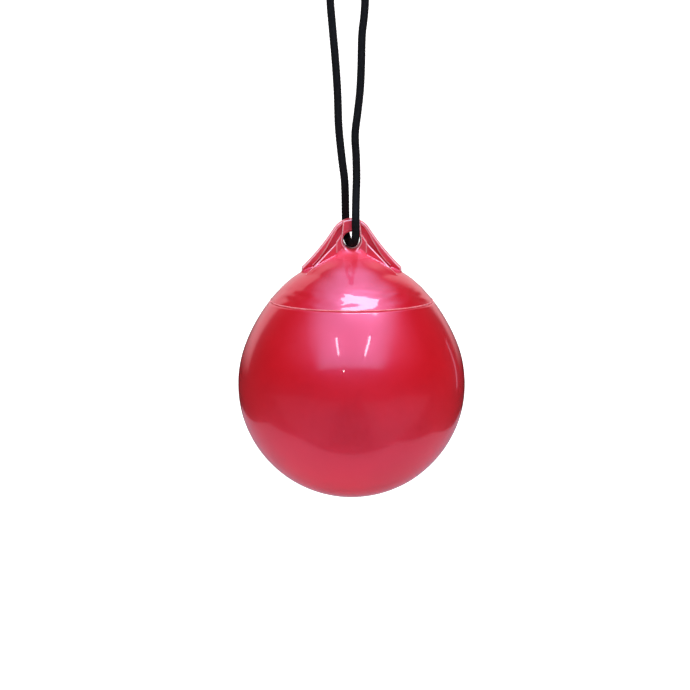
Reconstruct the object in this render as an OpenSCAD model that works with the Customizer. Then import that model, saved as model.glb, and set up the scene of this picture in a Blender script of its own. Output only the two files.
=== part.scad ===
// Hanging water-filled punching bag: a soft PVC ball with a finned lug at its top, a screw filler
// in the rear shoulder, and one braided cord that passes through the lug's eye and ends in a knotted loop.
// Millimetres, +Z up. The origin is the inside top of the cord's loop, where it bears on a hook.

/* [Bag] */
// Widest diameter of the filled bag
bag_d = 300; // [290:1:310]
// Thickness of the moulded skin
wall = 2.9; // [2.4:0.1:3.2]
// Radius of the arc that draws the shoulder in towards the lug
shoulder_r = 220; // [212:4:232]
// Height of the seam above the ball's centre
seam_h = 112; // [108:1:118]
// Height of the weld bead that stands proud along the seam
bead = 0.8; // [0.4:0.1:1.2]

/* [Lug] */
// Height of the eye's centre above the ball's centre
eye_h = 192.5; // [190:0.5:197]
// Diameter of the eye
eye_d = 22; // [20:0.5:23]
// Radius of the lug's rounded crest about the eye
crest_r = 27; // [26:0.5:28]
// Thickness of the lug at the eye
lug_t = 30; // [28:0.5:30]
// Reach of the two main ribs from the bag's axis
rib_reach = 65; // [62:0.5:68]
// Thickness of the main ribs' rims
rib_t = 18; // [14:1:20]

/* [Cord] */
// Diameter of the braided cord
cord_d = 10.5; // [9.5:0.1:10.5]
// Distance from the hook down to the lug's crest
drop = 480; // [475:1:500]

/* [Filler] */
// Diameter of the plug's grip
plug_d = 25; // [24:0.5:27]
// Rise of the plug in one turn
thread_pitch = 3; // [2:0.5:3]

/* [Hidden] */
$fn = 96;
gap = 0.05;            // space left between pieces that are bonded or nested

// Skin: three tangent arcs. Each is found by the elevation of the surface's outward normal.
ball_r = bag_d / 2;
ball_end = 20.5;       // normal elevation where the ball's arc hands over to the shoulder's
dome_start = 43;       // and where the shoulder's hands over to the dome's
shoulder_c = (ball_r - shoulder_r) * [cos(ball_end), sin(ball_end)];
dome_edge = shoulder_c + shoulder_r * [cos(dome_start), sin(dome_start)];
dome_r = dome_edge.x / cos(dome_start);
dome_h = dome_edge.y - dome_r * sin(dome_start);
seam_a = asin((seam_h - shoulder_c.y) / shoulder_r);
lap_a = 2;             // the cap's inner lip reaches this many degrees either side of the seam
lap_t = 1.8;

// Heights
crest_z = -drop;
ball_z = crest_z - crest_r - eye_h;
eye_drop = -crest_r;   // the eye's height counted from the crest

// Lug
pillar_w = 40;
pillar_t = 26;
web_t = 8;
rim_w = 6;
boss_r = 14;
boss_top_w = 20;
slope_a = 35.5;        // elevation of the normal to the main ribs' sloping edges
edge_sag = 1.9;        // how far those edges bow inwards
rib_foot = 155.5;      // height of the main ribs' lower ends
fin_t = 3;
fin_yaw = 24.5;        // the fins spread from the pillar's corners by this angle
fin_l = 44;
fin_top = eye_h - 2.5;
fin_foot = 149.5;
stem_r = 13;
foot_a = 70;           // the foot inside the skin reaches out to this normal elevation
foot_t = 4;
mouth = 1.5;           // bevel at the eye's two mouths

// Filler: on the rear shoulder, square to the skin
valve_a = 54;
flange_r = 22;
flange_h = 2.4;
collar_r = 15;
collar_h = 6;
neck_r = 11.5;
neck_depth = 16;
lip_h = 1.6;
bore_r = 8;
stem_clearance = 0.05;
stem_depth = 12;
grip_h = 5;
seal_r = 9.4;
seal_wire_r = 0.88;

// Cord: heights are counted from the lug's crest
cord_r = cord_d / 2;
core_r = 3.5;
strand_sides = 10;
bight = [-1.3, 0, eye_drop - 4.9];
rear_leg = [bight, [-3, 8, eye_drop - 4.7], [-4.4, 14.5, eye_drop - 3.2], [-6.5, 19.4, eye_drop + 2],
            [-7.8, 20.9, eye_drop + 10], [-7.9, 20.9, 0], [-8.1, 13.5, 18], [-8.5, 6, 36],
            [-9.5, 1.5, 54], [-12.8, 0, 80], [-16.8, 0, 120], [-18.4, 0, 165], [-21.4, 0, 210],
            [-25.2, 0, 252], [-27.6, 0, 286], [-24, 0, 308], [-12, 0, 332], [-6.8, 0, 346],
            [-6.5, 0, 366], [-6.5, 0, 384]];
front_leg = [bight, [0.8, -8, eye_drop - 4.7], [3, -14.5, eye_drop - 3.2], [4.8, -19.4, eye_drop + 2],
             [5.3, -20.9, eye_drop + 10], [5.3, -20.9, 0], [5.5, -13.5, 18], [6, -6, 36],
             [6.5, -1.5, 54], [6, 0, 80], [4.6, 0, 110], [8, 0, 140], [11, 0, 168], [12.5, 0, 200],
             [13.4, 0, 238], [16.4, 0, 266], [17, 0, 290], [12, 0, 322], [6.9, 0, 344],
             [6.5, 0, 366], [6.5, 0, 384]];
nod_h = 36;            // flex points: the nod, the spin, the sideways and the fore-and-aft swing
spin_h = 64;
side_h = 352;
fore_h = 372;
nod_gap = 4.3;         // half the length of cord left out at each, so that rigid pieces clear
spin_gap = 1;
side_gap = 5.8;
fore_gap = 4;

// Knot: the front leg wraps round the two strands of the loop
strand_x = cord_r + gap;
wrap_r = cord_d + 0.4;
wrap_pitch = cord_d + 0.2;
wraps = 3;
wrap_start = -0.1;     // turns, counted from the knot's right-hand side
wrap_h = 401;
wrap_steps = 16;       // points in each turn
loop_w = 17.5;

// ---- curves -------------------------------------------------------------------------------------

function unit(v) = v / norm(v);
function reversed(list) = [for (i = [len(list) - 1:-1:0]) list[i]];

// Point t of the way from b to c on a curve through a, b, c and d
function blend4(a, b, c, d, t) =
    0.5 * (2 * b + (c - a) * t + (2 * a - 5 * b + 4 * c - d) * t * t + (3 * b - a - 3 * c + d) * t * t * t);

function spline(p, steps = 3) = concat(
    [for (i = [0:len(p) - 2], k = [0:steps - 1])
        blend4(p[max(i - 1, 0)], p[i], p[i + 1], p[min(i + 2, len(p) - 1)], k / steps)],
    [p[len(p) - 1]]);

function bezier(a, b, c, d, steps) = [for (k = [0:steps])
    let (t = k / steps, s = 1 - t) s * s * s * a + 3 * s * s * t * b + 3 * s * t * t * c + t * t * t * d];

// A point at height h on a path that only rises
function at_height(p, h) = [lookup(h, [for (q = p) [q.z, q.x]]), lookup(h, [for (q = p) [q.z, q.y]]), h];
function between(p, low, high) =
    concat([at_height(p, low)], [for (q = p) if (q.z > low + 1 && q.z < high - 1) q], [at_height(p, high)]);
function below(p, high) = concat([for (q = p) if (q.z < high - 1) q], [at_height(p, high)]);

// Outer skin where its normal's elevation is a, moved inwards by depth: [radius, height]
function skin(a, depth = 0) =
    a < ball_end ? (ball_r - depth) * [cos(a), sin(a)] :
    a < dome_start ? shoulder_c + (shoulder_r - depth) * [cos(a), sin(a)] :
    [0, dome_h] + (dome_r - depth) * [cos(a), sin(a)];
function skin_arc(a0, a1, depth, steps = 24) = [for (i = [0:steps]) skin(a0 + (a1 - a0) * i / steps, depth)];

// Round the two strands of the knot: u counts turns
function wrap_xy(u) =
    let (q = PI * wrap_r / 2, d = (u - floor(u)) * 4 * (q + strand_x))
    d < q ? [strand_x, 0] + wrap_r * [cos(90 * d / q), sin(90 * d / q)] :
    d < q + 2 * strand_x ? [strand_x - (d - q), wrap_r] :
    d < 3 * q + 2 * strand_x ?
        [-strand_x, 0] + wrap_r * [cos(90 * (d - 2 * strand_x) / q), sin(90 * (d - 2 * strand_x) / q)] :
    d < 3 * q + 4 * strand_x ? [-strand_x + (d - 3 * q - 2 * strand_x), -wrap_r] :
    [strand_x, 0] + wrap_r * [cos(90 * (d - 4 * strand_x) / q), sin(90 * (d - 4 * strand_x) / q)];

// ---- cord ---------------------------------------------------------------------------------------

function tangent(p, i) = unit(p[min(i + 1, len(p) - 1)] - p[max(i - 1, 0)]);
function square_to(n, t) = unit(n - (n * t) * t);
function normals(p) =
    [for (i = 0, n = square_to([0.1, 1, 0.2], tangent(p, 0)); i < len(p);
          i = i + 1, n = i < len(p) ? square_to(n, tangent(p, i)) : n) n];
function rings(p, r) =
    let (n = normals(p))
    [for (i = [0:len(p) - 1], k = [0:strand_sides - 1])
        let (t = tangent(p, i), a = 360 * k / strand_sides)
        p[i] + r * (cos(a) * n[i] + sin(a) * cross(t, n[i]))];

// Triangles between two loops of points that start at numbers a and b
function band(a, b) =
    [for (k = [0:strand_sides - 1], half = [0, 1])
        let (m = (k + 1) % strand_sides)
        half == 0 ? [a + k, b + k, b + m] : [a + k, b + m, a + m]];
function wall_faces(start, count, outward) =
    [for (i = [0:count - 2])
        let (a = start + i * strand_sides, b = a + strand_sides)
        each outward ? band(a, b) : band(b, a)];

// A solid strand along path, or a sheath with a hollow of radius r_in
module strand(path, r_out, r_in = 0) {
    count = len(path);
    inner = count * strand_sides;
    last = inner - strand_sides;
    if (r_in == 0)
        polyhedron(rings(path, r_out), concat(
            wall_faces(0, count, true),
            [[for (k = [0:strand_sides - 1]) k], [for (k = [strand_sides - 1:-1:0]) last + k]]));
    else
        polyhedron(concat(rings(path, r_out), rings(path, r_in)), concat(
            wall_faces(0, count, true), wall_faces(inner, count, false),
            band(inner, 0), band(last, inner + last)));
}
module sheath(path) color([0.06, 0.06, 0.065]) translate([0, 0, crest_z]) strand(path, cord_r, core_r + 0.1);
module core(path) color([0.85, 0.85, 0.82]) translate([0, 0, crest_z]) strand(path, core_r);

rear_path = spline(rear_leg);
front_path = spline(front_leg);

loop_path = spline(concat(
    [at_height(rear_path, fore_h + fore_gap), [-5.9, 0, wrap_h - 12]],
    [for (h = [wrap_h, wrap_h + 17, wrap_h + 34]) [-strand_x, 0, h]],
    [[-8.5, 0, wrap_h + 44], [-15.5, 0, drop - 22], [-loop_w, 0, drop - 10], [-12.5, 0, drop + 1.2],
     [0, 0, drop + cord_r], [12.5, 0, drop + 1.2], [loop_w, 0, drop - 10], [15.5, 0, drop - 22],
     [8.5, 0, wrap_h + 44]],
    [for (h = [wrap_h + 34, wrap_h + 17, wrap_h]) [strand_x, 0, h]],
    [[5.4, 2.4, wrap_h - 6.4], [5.6, 8, wrap_h - 11.6], [5.8, 14.5, wrap_h - 16]]), 2);

wrap_path = [for (i = [0:wraps * wrap_steps])
    let (u = i / wrap_steps) [each wrap_xy(wrap_start + u), wrap_h + wrap_pitch * u]];
knot_path = concat(
    bezier(at_height(front_path, fore_h + fore_gap), [6.5, -2.5, wrap_h - 15.5], [6.4, -15.2, wrap_h - 3.5],
           wrap_path[0], 7),
    [for (i = [1:len(wrap_path) - 1]) wrap_path[i]],
    [[17.6, -3.8, wrap_h + wrap_pitch * wraps + 1.8], [23, 1, wrap_h + wrap_pitch * wraps + 4.6]]);

neck_span = [side_h + side_gap, fore_h - fore_gap];
legs_span = [spin_h + spin_gap, side_h - side_gap];
link_span = [nod_h + nod_gap, spin_h - spin_gap];
bight_path = concat(reversed(below(rear_path, nod_h - nod_gap)),
                    [for (i = [1:len(below(front_path, nod_h - nod_gap)) - 1])
                        below(front_path, nod_h - nod_gap)[i]]);

module both_legs(span) {
    between_legs = [between(rear_path, span[0], span[1]), between(front_path, span[0], span[1])];
    for ($leg = between_legs) children();
}
module loop_sheath() sheath(loop_path);
module loop_core() core(loop_path);
module knot_sheath() sheath(knot_path);
module knot_core() core(knot_path);
module neck_sheath() both_legs(neck_span) sheath($leg);
module neck_core() both_legs(neck_span) core($leg);
module legs_sheath() both_legs(legs_span) sheath($leg);
module legs_core() both_legs(legs_span) core($leg);
module link_sheath() both_legs(link_span) sheath($leg);
module link_core() both_legs(link_span) core($leg);
module bight_sheath() sheath(bight_path);
module bight_core() core(bight_path);

// ---- bag ----------------------------------------------------------------------------------------

module at_ball() translate([0, 0, ball_z]) children();
module pvc() color([0.76, 0.08, 0.16]) children();
module four_corners() for (x = [0, 1], y = [0, 1]) mirror([x, 0, 0]) mirror([0, y, 0]) children();

// Ball below the seam
module lower_shell() pvc() at_ball()
    rotate_extrude() polygon(concat(
        skin_arc(-90, seam_a, 0),
        skin_arc(seam_a, seam_a - 2 * lap_a, wall, 6), skin_arc(seam_a - 2.5 * lap_a, -90, wall)));

// Shoulder and dome above it, with the weld bead outside and a lip that laps inside the ball
module shoulder_cap() pvc() at_ball()
    difference() {
        a = seam_a + 0.02;
        rotate_extrude() polygon(concat(
            [skin(a, 0), skin(a, -bead), skin(a + 0.3, -bead), skin(a + 0.5, 0)],
            skin_arc(a + 1, 90, 0), skin_arc(90, a + lap_a, wall),
            skin_arc(a + lap_a, a - lap_a, wall + lap_t, 6), skin_arc(a - lap_a, a, wall + gap, 3)));
        cylinder(r = stem_r + gap, h = 2 * ball_r);
        at_valve() translate([0, 0, -2 * wall]) cylinder(r = neck_r + gap, h = 4 * wall);
    }

// Side outline of the lug, drawn in by inset
module tent(inset = 0) {
    n = [cos(slope_a), sin(slope_a)];
    top = [0, eye_h] + (crest_r - inset) * n;
    end = [rib_reach, rib_foot] - inset * n;
    mid = (top + end) / 2 - edge_sag * n;
    right = [top, mid, end, [end.x, dome_h]];
    translate([0, eye_h]) circle(crest_r - inset);
    polygon(concat(right, [for (p = reversed(right)) [-p.x, p.y]]));
}
module boss_outline() {
    translate([0, eye_h]) circle(boss_r);
    polygon([[boss_r, eye_h], [boss_top_w / 2, eye_h + crest_r], [-boss_top_w / 2, eye_h + crest_r],
             [-boss_r, eye_h]]);
}
module pillar_outline() {
    shoulder = fin_top + 7;
    polygon([[pillar_w / 2, dome_h], [pillar_w / 2, fin_top], [boss_r, shoulder], [-boss_r, shoulder],
             [-pillar_w / 2, fin_top], [-pillar_w / 2, dome_h]]);
}
// Extrudes a side outline to t thick, centred on the lug's mid plane
module slab(t) rotate([90, 0, 0]) linear_extrude(t, center = true) children();

module fin()
    translate([(pillar_w - fin_t) / 2, -(pillar_t - fin_t) / 2, 0]) rotate([0, 0, -fin_yaw])
        slab(fin_t) polygon([[-6, dome_h], [-6, fin_top], [0, fin_top], [fin_l, fin_foot], [fin_l, dome_h]]);

// The foot inside the skin carries the lug's load; the stem joins it to the pillar through the dome
module hanging_lug() pvc() at_ball() {
    difference() {
        union() {
            slab(web_t) tent();
            slab(rib_t) difference() {
                tent();
                tent(rim_w);
            }
            slab(pillar_t) pillar_outline();
            slab(lug_t) intersection() {
                tent();
                boss_outline();
            }
            four_corners() fin();
        }
        translate([0, 0, dome_h]) sphere(dome_r + gap);
        translate([0, 0, eye_h]) rotate([90, 0, 0]) {
            cylinder(d = eye_d, h = 2 * lug_t, center = true);
            for (s = [0, 1]) mirror([0, 0, s]) translate([0, 0, lug_t / 2 - mouth])
                cylinder(d1 = eye_d, d2 = eye_d + 2 * mouth, h = mouth + gap);
        }
    }
    top = dome_h + dome_r;
    translate([0, 0, top - wall - foot_t / 2]) cylinder(r = stem_r, h = wall + foot_t);
    rotate_extrude() polygon(concat(skin_arc(foot_a, 90, wall + gap, 6), skin_arc(90, foot_a, wall + foot_t, 6)));
}

// ---- filler -------------------------------------------------------------------------------------

module at_valve() {
    p = skin(valve_a);
    translate([0, p.x, p.y]) rotate([valve_a - 90, 0, 0]) children();
}
module valve_flange() pvc() at_ball() at_valve()
    difference() {
        union() {
            translate([0, 0, -2 * flange_h]) cylinder(r = flange_r, h = 3 * flange_h);
            translate([0, 0, flange_h / 2]) cylinder(r1 = collar_r + 2, r2 = collar_r, h = collar_h - flange_h / 2);
        }
        translate([0, 0, -dome_r]) sphere(dome_r + gap);
        translate([0, 0, -2 * wall]) cylinder(r = neck_r + gap, h = 20);
    }

module filler_neck() color([0.08, 0.08, 0.09]) at_ball() at_valve()
    difference() {
        union() {
            translate([0, 0, -neck_depth]) cylinder(r = neck_r, h = neck_depth + collar_h + lip_h);
            translate([0, 0, collar_h + gap]) cylinder(r = collar_r - 0.6, h = lip_h - gap);
        }
        translate([0, 0, -neck_depth - 1]) cylinder(r = bore_r, h = 2 * neck_depth + 10);
        translate([0, 0, collar_h + lip_h - 2 * seal_wire_r]) cylinder(r = seal_r + seal_wire_r + 0.2, h = 5);
    }

module plug_seal() color([0.15, 0.15, 0.15]) at_ball() at_valve()
    translate([0, 0, collar_h + lip_h - seal_wire_r + gap / 2])
        rotate_extrude() translate([seal_r, 0]) circle(seal_wire_r - gap / 4, $fn = 32);

module filler_plug() color([0.1, 0.1, 0.11]) at_ball() at_valve() {
    grips = 10;
    face = collar_h + lip_h + gap;
    difference() {
        translate([0, 0, face]) cylinder(d = plug_d, h = grip_h);
        for (i = [0:grips - 1]) rotate(i * 360 / grips)
            translate([plug_d / 2 + 1, 0, face - 1]) cylinder(r = 2.2, h = grip_h + 2, $fn = 24);
        translate([0, 0, face + grip_h]) cube([plug_d * 0.7, 2.4, 4.4], center = true);
    }
    translate([0, 0, face - stem_depth]) cylinder(r = bore_r - stem_clearance, h = stem_depth + 1);
}

loop_sheath();
loop_core();
knot_sheath();
knot_core();
neck_sheath();
neck_core();
legs_sheath();
legs_core();
link_sheath();
link_core();
bight_sheath();
bight_core();
hanging_lug();
shoulder_cap();
lower_shell();
valve_flange();
filler_neck();
plug_seal();
filler_plug();
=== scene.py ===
"""A pearl red PVC water bag hung from a black braided cord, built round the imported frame.

Meshes are worked out in millimetres, in the ball's frame (origin at the ball's centre) or in the
crest's frame (origin at the top of the lug), and placed in the row frame by add().
"""

import math

import bpy
import numpy as np
from mathutils import Matrix, Vector, noise


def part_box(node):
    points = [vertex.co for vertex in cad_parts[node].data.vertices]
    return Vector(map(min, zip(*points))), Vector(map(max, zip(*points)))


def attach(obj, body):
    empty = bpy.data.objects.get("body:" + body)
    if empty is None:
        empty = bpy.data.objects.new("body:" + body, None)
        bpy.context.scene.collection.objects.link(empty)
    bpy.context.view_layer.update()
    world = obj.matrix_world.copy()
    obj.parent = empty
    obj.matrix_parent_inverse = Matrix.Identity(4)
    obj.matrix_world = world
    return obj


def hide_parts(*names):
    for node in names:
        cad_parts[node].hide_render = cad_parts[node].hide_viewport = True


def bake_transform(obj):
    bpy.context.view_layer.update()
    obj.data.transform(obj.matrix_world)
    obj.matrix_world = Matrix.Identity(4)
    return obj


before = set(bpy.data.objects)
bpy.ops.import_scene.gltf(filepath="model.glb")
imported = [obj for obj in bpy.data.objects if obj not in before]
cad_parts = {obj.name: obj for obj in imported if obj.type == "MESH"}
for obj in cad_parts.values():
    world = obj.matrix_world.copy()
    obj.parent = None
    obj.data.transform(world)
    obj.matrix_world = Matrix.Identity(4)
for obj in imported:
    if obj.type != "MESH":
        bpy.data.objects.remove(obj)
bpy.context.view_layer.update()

# ---- sizes, in millimetres, as in the CAD source --------------------------------------------------

BALL_R = 150.0
SHOULDER_R = 220.0
BALL_END = math.radians(20.5)  # elevation of the skin's normal where the ball's arc ends
DOME_START = math.radians(43)  # and where the dome's arc starts
SEAM_H = 112.0
WALL = 2.9
BEAD, BEAD_W = 0.75, 0.8  # the flash's height, a little under the CAD's, and half its width

EYE_H = 192.5
EYE_R = 11.0
CREST_R = 27.0
DROP = 480.0

VALVE_A = math.radians(54)
THREAD_PITCH = 3.0
CORD_R = 5.25

MM = 0.001
BALL_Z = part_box("lower_shell")[0].z / MM + BALL_R
CREST_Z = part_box("hanging_lug")[1].z / MM


# ---- meshes ---------------------------------------------------------------------------------------


def add(name, mesh, material, origin=(0, 0, 0), turn=Matrix.Identity(3)):
    """A smooth-shaded object from (points, faces) in a local frame, placed at origin in the row frame."""
    points, faces = mesh
    points = np.asarray(points) @ np.array(turn).T + np.array(origin, float)
    data = bpy.data.meshes.new(name)
    data.from_pydata((points * MM).tolist(), [], faces)
    data.polygons.foreach_set("use_smooth", [True] * len(data.polygons))
    data.materials.append(material)
    obj = bpy.data.objects.new(name, data)
    bpy.context.scene.collection.objects.link(obj)
    return obj


def grid_faces(rows, columns, start=0):
    """Quads between rows of points that close on themselves."""
    i, k = np.meshgrid(np.arange(rows - 1), np.arange(columns), indexing="ij")
    a, b = start + i * columns + k, start + i * columns + (k + 1) % columns
    return np.stack([a, b, b + columns, a + columns], -1).reshape(-1, 4).tolist()


def lathe(profile, sides):
    """Turns a profile of (radius, height) about Z. An end on the axis closes to a single point."""
    profile = np.asarray(profile, float)
    a = np.linspace(0, 2 * math.pi, sides, endpoint=False)
    points = np.stack(
        [
            np.outer(profile[:, 0], np.cos(a)),
            np.outer(profile[:, 0], np.sin(a)),
            np.repeat(profile[:, 1:], sides, 1),
        ],
        -1,
    ).reshape(-1, 3)
    faces = np.array(grid_faces(len(profile), sides))
    on_axis = np.repeat(profile[:, 0] < 1e-6, sides)
    tips = np.arange(len(points)) // sides * sides
    faces = np.where(on_axis[faces], tips[faces], faces)
    used, faces = np.unique(faces, return_inverse=True)
    return points[used], [list(dict.fromkeys(face)) for face in faces.reshape(-1, 4).tolist()]


def closed_lathe(profile, sides):
    """Turns a closed outline about Z, such as a ring's cross-section."""
    points, faces = lathe(list(profile) + [profile[0]], sides)
    last = len(profile) * sides
    return points[:last], [[v % last for v in face] for face in faces]


def rounded(corners, radius, steps):
    """An outline whose corners are replaced by short arcs, which take up less than half of each side."""
    corners = [np.array(c, float) for c in corners]
    out = []
    for before, at, after in zip(corners[-1:] + corners[:-1], corners, corners[1:] + corners[:1]):
        a, b = before - at, after - at
        reach = min(radius, np.linalg.norm(a) * 0.45, np.linalg.norm(b) * 0.45)
        a, b = at + a / np.linalg.norm(a) * reach, at + b / np.linalg.norm(b) * reach
        for t in np.linspace(0, 1, steps):
            out.append((1 - t) ** 2 * a + 2 * t * (1 - t) * at + t * t * b)
    return out


# ---- solids as distance fields --------------------------------------------------------------------


def smooth_min(a, b, k):
    """The lower of two distances, with the crease between them filled over k mm."""
    h = np.maximum(k - np.abs(a - b), 0) / k
    return np.minimum(a, b) - h * h * k / 4


def smooth_max(a, b, k):
    """The higher of two distances, with the edge between them rounded over k mm."""
    return -smooth_min(-a, -b, k)


def ramp(low, high, x):
    """Turns smoothly from 0 where x is low to 1 where x is high. Low may be the larger of the two."""
    t = np.clip((x - low) / (high - low), 0, 1)
    return t * t * (3 - 2 * t)


def outline_distance(x, z, corners):
    """Signed distance in a plane to a closed outline, negative inside."""
    nearest, inside = np.inf, False
    for (ax, az), (bx, bz) in zip(corners, corners[1:] + corners[:1]):
        ex, ez = bx - ax, bz - az
        wx, wz = x - ax, z - az
        t = np.clip((wx * ex + wz * ez) / (ex * ex + ez * ez), 0, 1)
        nearest = np.minimum(nearest, (wx - t * ex) ** 2 + (wz - t * ez) ** 2)
        if ez:
            inside = inside ^ (((az > z) != (bz > z)) & (wx < ex * wz / ez))
    return np.where(inside, -1, 1) * np.sqrt(nearest)


def slab(flat, across, thickness, rounding):
    """A flat outline's distance made thickness thick about its mid plane, with rounded edges."""
    a, b = flat + rounding, np.abs(across) - thickness / 2 + rounding
    return np.minimum(np.maximum(a, b), 0) + np.hypot(np.maximum(a, 0), np.maximum(b, 0)) - rounding


def sampled(field, low, high, cell, mirrored):
    """The axes of a grid over the box low..high, and the field at its points."""
    axes = [np.arange(lo, hi + cell, cell) for lo, hi in zip(low, high)]
    if mirrored:
        axes[:2] = [np.arange(cell / 2, hi + cell, cell) for hi in high[:2]]
    values = field(axes[0][:, None, None], axes[1][None, :, None], axes[2][None, None, :])
    if mirrored:
        for side in (0, 1):
            values = np.concatenate([np.flip(values, side), values], side)
            axes[side] = np.concatenate([-axes[side][::-1], axes[side]])
    return axes, values


def crossed_cells(inside):
    """True for each cell of the grid whose eight corners aren't all on one side of the surface."""
    spans = (slice(0, -1), slice(1, None))
    counts = sum(inside[i, j, k].astype(int) for i in spans for j in spans for k in spans)
    return (counts > 0) & (counts < 8)


def crossing_quads(inside, number):
    """A quad round each grid edge that crosses the surface, from the numbers of the cells it touches."""
    faces = []
    for d in range(3):
        one, two = [a for a in range(3) if a != d]
        before, after = [slice(None)] * 3, [slice(None)] * 3
        before[d], after[d] = slice(0, -1), slice(1, None)
        at = np.argwhere(inside[tuple(before)] != inside[tuple(after)])
        at = at[(at[:, one] > 0) & (at[:, two] > 0)]
        at = at[(at[:, one] < number.shape[one]) & (at[:, two] < number.shape[two])]
        corners = []
        for s, t in ((0, 0), (1, 0), (1, 1), (0, 1)):
            cell_at = at.copy()
            cell_at[:, one] -= s
            cell_at[:, two] -= t
            corners.append(number[tuple(cell_at.T)])
        quads = np.stack(corners, -1)
        flip = inside[tuple(at.T)] ^ (d == 1)
        quads[~flip] = quads[~flip][:, ::-1]
        faces.append(quads)
    return np.concatenate(faces)


def pulled(points, field, cell, rounds=4):
    """Points moved along the field's slope onto its zero surface, by at most 0.6 of a cell a round."""
    step = cell / 20
    for _ in range(rounds):
        value = field(*points.T)
        slope = np.stack(
            [
                (field(*(points + shift).T) - field(*(points - shift).T)) / (2 * step)
                for shift in np.eye(3) * step
            ],
            -1,
        )
        move = -slope * (value / np.maximum((slope**2).sum(-1), 0.05))[:, None]
        reach = np.linalg.norm(move, axis=1)[:, None]
        points = points + move * np.minimum(1, 0.6 * cell / np.maximum(reach, 1e-9))
    return points


def surface(field, low, high, cell, mirrored=False):
    """The field's zero surface as (points, faces): one point in each cell it crosses, pulled onto it.
    A mirrored field is the same in all four quarters round Z, so only one is worked out."""
    axes, values = sampled(field, low, high, cell, mirrored)
    inside = values < 0
    crossed = crossed_cells(inside)
    number = np.full(crossed.shape, -1)
    number[crossed] = np.arange(crossed.sum())
    where = np.argwhere(crossed)
    points = np.stack([axes[d][where[:, d]] + cell / 2 for d in range(3)], -1)
    return pulled(points, field, cell), crossing_quads(inside, number).tolist()


# ---- skin -----------------------------------------------------------------------------------------

SHOULDER_C = (BALL_R - SHOULDER_R) * np.array([math.cos(BALL_END), math.sin(BALL_END)])
DOME_EDGE = SHOULDER_C + SHOULDER_R * np.array([math.cos(DOME_START), math.sin(DOME_START)])
DOME_R = DOME_EDGE[0] / math.cos(DOME_START)
DOME_H = DOME_EDGE[1] - DOME_R * math.sin(DOME_START)
SEAM_A = math.asin((SEAM_H - SHOULDER_C[1]) / SHOULDER_R)
SKIN_SIDES = 240

UNEVEN = ((70.0, 0.30), (34.0, 0.14), (17.0, 0.04))  # (size, height) of each scale of unevenness
WRINKLE, WRINKLE_SIZE = 0.50, np.array([19.0, 19.0, 5.5])
WRINKLE_H = (SEAM_H - 6, SEAM_H + 5)  # the heights over which the wrinkles set in
WRINKLE_R = (76.0, 98.0)  # and the distances from the axis


def skin(a, depth=0.0):
    """(radius, height) on the skin where its normal's elevation is a, depth mm inside it."""
    n = np.array([math.cos(a), math.sin(a)])
    if a < BALL_END:
        return (BALL_R - depth) * n
    if a < DOME_START:
        return SHOULDER_C + (SHOULDER_R - depth) * n
    return np.array([0, DOME_H]) + (DOME_R - depth) * n


def skin_arc(start, end, depth, steps):
    """The skin's profile, depth mm inside it, between two elevations of its normal."""
    points = [skin(a, depth) for a in np.linspace(start, end, steps)]
    return [(max(r, 0.0), z) for r, z in points]


def ripple(points):
    """How far the soft skin stands out, in mm, from its ideal shape at points in the ball's frame: broad
    unevenness everywhere, and fine level wrinkles over the seam, where the skin was drawn off its mould."""
    broad = np.array([sum(h * noise.noise(Vector(p) / size) for size, h in UNEVEN) for p in points])
    r, z = np.hypot(points[:, 0], points[:, 1]), points[:, 2]
    fine = np.array([noise.noise(Vector(p)) for p in points / WRINKLE_SIZE])
    return broad + WRINKLE * fine * ramp(*WRINKLE_H, z) * ramp(*WRINKLE_R, r)


def outward(points):
    """The ideal skin's normal at points in the ball's frame."""
    r, z = np.hypot(points[:, 0], points[:, 1]), points[:, 2]
    on_ball = np.arctan2(z, r)
    on_shoulder = np.arctan2(z - SHOULDER_C[1], r - SHOULDER_C[0])
    on_dome = np.arctan2(z - DOME_H, r)
    a = np.where(on_shoulder < BALL_END, on_ball, np.where(on_shoulder < DOME_START, on_shoulder, on_dome))
    turn = np.arctan2(points[:, 1], points[:, 0])
    return np.stack([np.cos(a) * np.cos(turn), np.cos(a) * np.sin(turn), np.sin(a)], -1)


def soften(mesh):
    """Lets a skin mesh's points follow the ripple."""
    points, faces = mesh
    return points + outward(points) * ripple(points)[:, None], faces


def lower_shell_mesh():
    outer = skin_arc(-math.pi / 2, SEAM_A, 0, steps=110)
    inner = skin_arc(SEAM_A, -math.pi / 2, WALL, steps=30)
    return lathe(outer + inner, SKIN_SIDES)


def shoulder_cap_mesh():
    outer = skin_arc(SEAM_A, math.pi / 2, 0, steps=90)
    inner = skin_arc(math.pi / 2, SEAM_A, WALL, steps=24)
    return lathe(outer + inner, SKIN_SIDES)


def weld_bead_mesh():
    """The flash that stands proud along the weld, a rounded ridge with a flat foot inside the skin."""
    ridge = [
        skin(SEAM_A + BEAD_W * math.cos(a) / SHOULDER_R, -BEAD * math.sin(a))
        for a in np.linspace(-0.4, math.pi + 0.4, 14)
    ]
    return closed_lathe(ridge, SKIN_SIDES)


# ---- lug ------------------------------------------------------------------------------------------

LUG_CELL = 0.8
LUG_LOW, LUG_HIGH = (-92, -94, 120), (92, 94, 222)

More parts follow.
